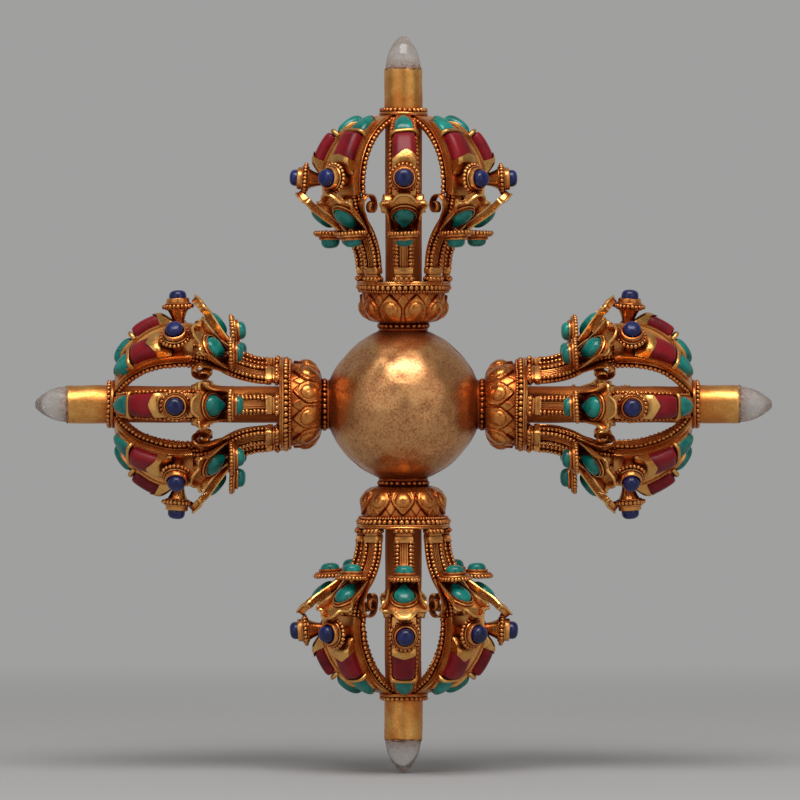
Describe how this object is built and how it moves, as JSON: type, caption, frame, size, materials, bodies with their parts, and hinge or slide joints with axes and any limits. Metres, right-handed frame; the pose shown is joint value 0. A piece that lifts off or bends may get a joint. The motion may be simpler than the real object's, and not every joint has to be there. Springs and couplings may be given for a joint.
{
  "type": "dorje vajra",
  "caption": "Crossed ritual dorje: jewelled prong cages on lotus cups round a hub sphere, each closed by a crystal-tipped tube, shown upright as an altar object.",
  "frame": {"origin": "centre of the hub sphere, where the four arms cross", "axes": "+Z along the top arm, +X along the right arm, the face that the picture shows looks to -Y"},
  "size_m": [0.221, 0.069, 0.221],
  "materials": {
    "sphere_gilt": "hammered satin gilding",
    "gilt": "bright gilding with red patina",
    "dark_gilt": "worn gilding",
    "crystal": "polished",
    "lapis": "polished",
    "coral": "polished",
    "turquoise": "polished"
  },
  "bodies": {
    "root": {"sphere_front_shell": "sphere_gilt", "sphere_back_shell": "sphere_gilt", "core_hub": "dark_gilt", "neck_collars": "dark_gilt", "top_spine_tube": "gilt", "top_crystal_tip": "crystal", "top_lotus_cup": "gilt", "top_rim": "gilt", "top_prongs": "dark_gilt", "top_edge_wires": "gilt", "top_leaf_settings": "gilt", "top_disc_settings": "gilt", "top_stud_posts": "gilt", "top_tip_collar": "gilt", "top_coral_clasps": "gilt", "top_lapis_stones": "lapis", "top_coral_stones": "coral", "top_turquoise_stones": "turquoise", "right_spine_tube": "gilt", "right_crystal_tip": "crystal", "right_lotus_cup": "gilt", "right_rim": "gilt", "right_prongs": "dark_gilt", "right_edge_wires": "gilt", "right_leaf_settings": "gilt", "right_disc_settings": "gilt", "right_stud_posts": "gilt", "right_tip_collar": "gilt", "right_coral_clasps": "gilt", "right_lapis_stones": "lapis", "right_coral_stones": "coral", "right_turquoise_stones": "turquoise", "bottom_spine_tube": "gilt", "bottom_crystal_tip": "crystal", "bottom_lotus_cup": "gilt", "bottom_rim": "gilt", "bottom_prongs": "dark_gilt", "bottom_edge_wires": "gilt", "bottom_leaf_settings": "gilt", "bottom_disc_settings": "gilt", "bottom_stud_posts": "gilt", "bottom_tip_collar": "gilt", "bottom_coral_clasps": "gilt", "bottom_lapis_stones": "lapis", "bottom_coral_stones": "coral", "bottom_turquoise_stones": "turquoise", "left_spine_tube": "gilt", "left_crystal_tip": "crystal", "left_lotus_cup": "gilt", "left_rim": "gilt", "left_prongs": "dark_gilt", "left_edge_wires": "gilt", "left_leaf_settings": "gilt", "left_disc_settings": "gilt", "left_stud_posts": "gilt", "left_tip_collar": "gilt", "left_coral_clasps": "gilt", "left_lapis_stones": "lapis", "left_coral_stones": "coral", "left_turquoise_stones": "turquoise"}
  },
  "joints": []
}
